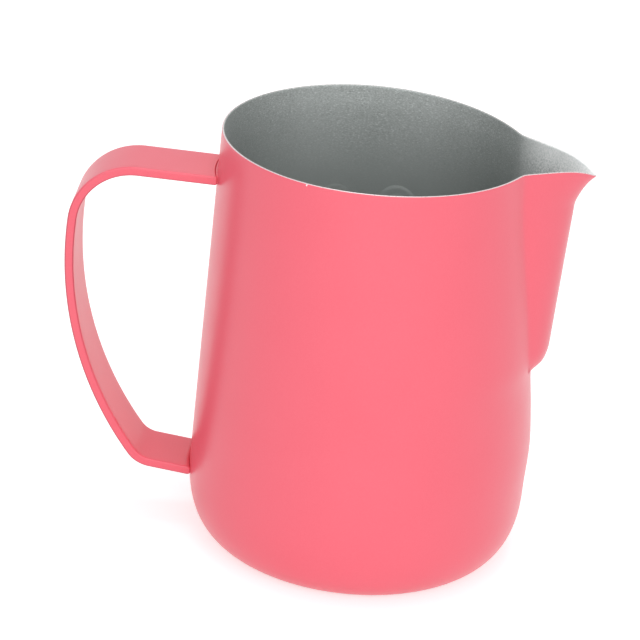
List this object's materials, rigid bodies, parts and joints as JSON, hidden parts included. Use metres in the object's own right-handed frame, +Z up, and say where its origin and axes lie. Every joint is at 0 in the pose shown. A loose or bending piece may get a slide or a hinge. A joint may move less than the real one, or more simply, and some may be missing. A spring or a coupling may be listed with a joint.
{
  "type": "milk frothing pitcher",
  "caption": "Coated steel milk pitcher with a round, slightly tapered body, a pressed V spout and a flat strap handle welded on the opposite side.",
  "frame": {"origin": "centre of the flat base, on the surface that the pitcher stands on", "axes": "+Z up along the body's axis, +X towards the spout, -X towards the handle, +Y to the left seen from the handle"},
  "size_m": [0.1305, 0.0874, 0.11],
  "materials": {
    "body_coat": "satin coral coat outside, bare blasted steel inside",
    "strap_coat": "satin coral coat",
    "weld": "coated weld seam"
  },
  "bodies": {
    "root": {"body_shell": "body_coat", "handle_strap": "strap_coat", "upper_weld": "weld", "lower_weld": "weld"}
  },
  "joints": []
}
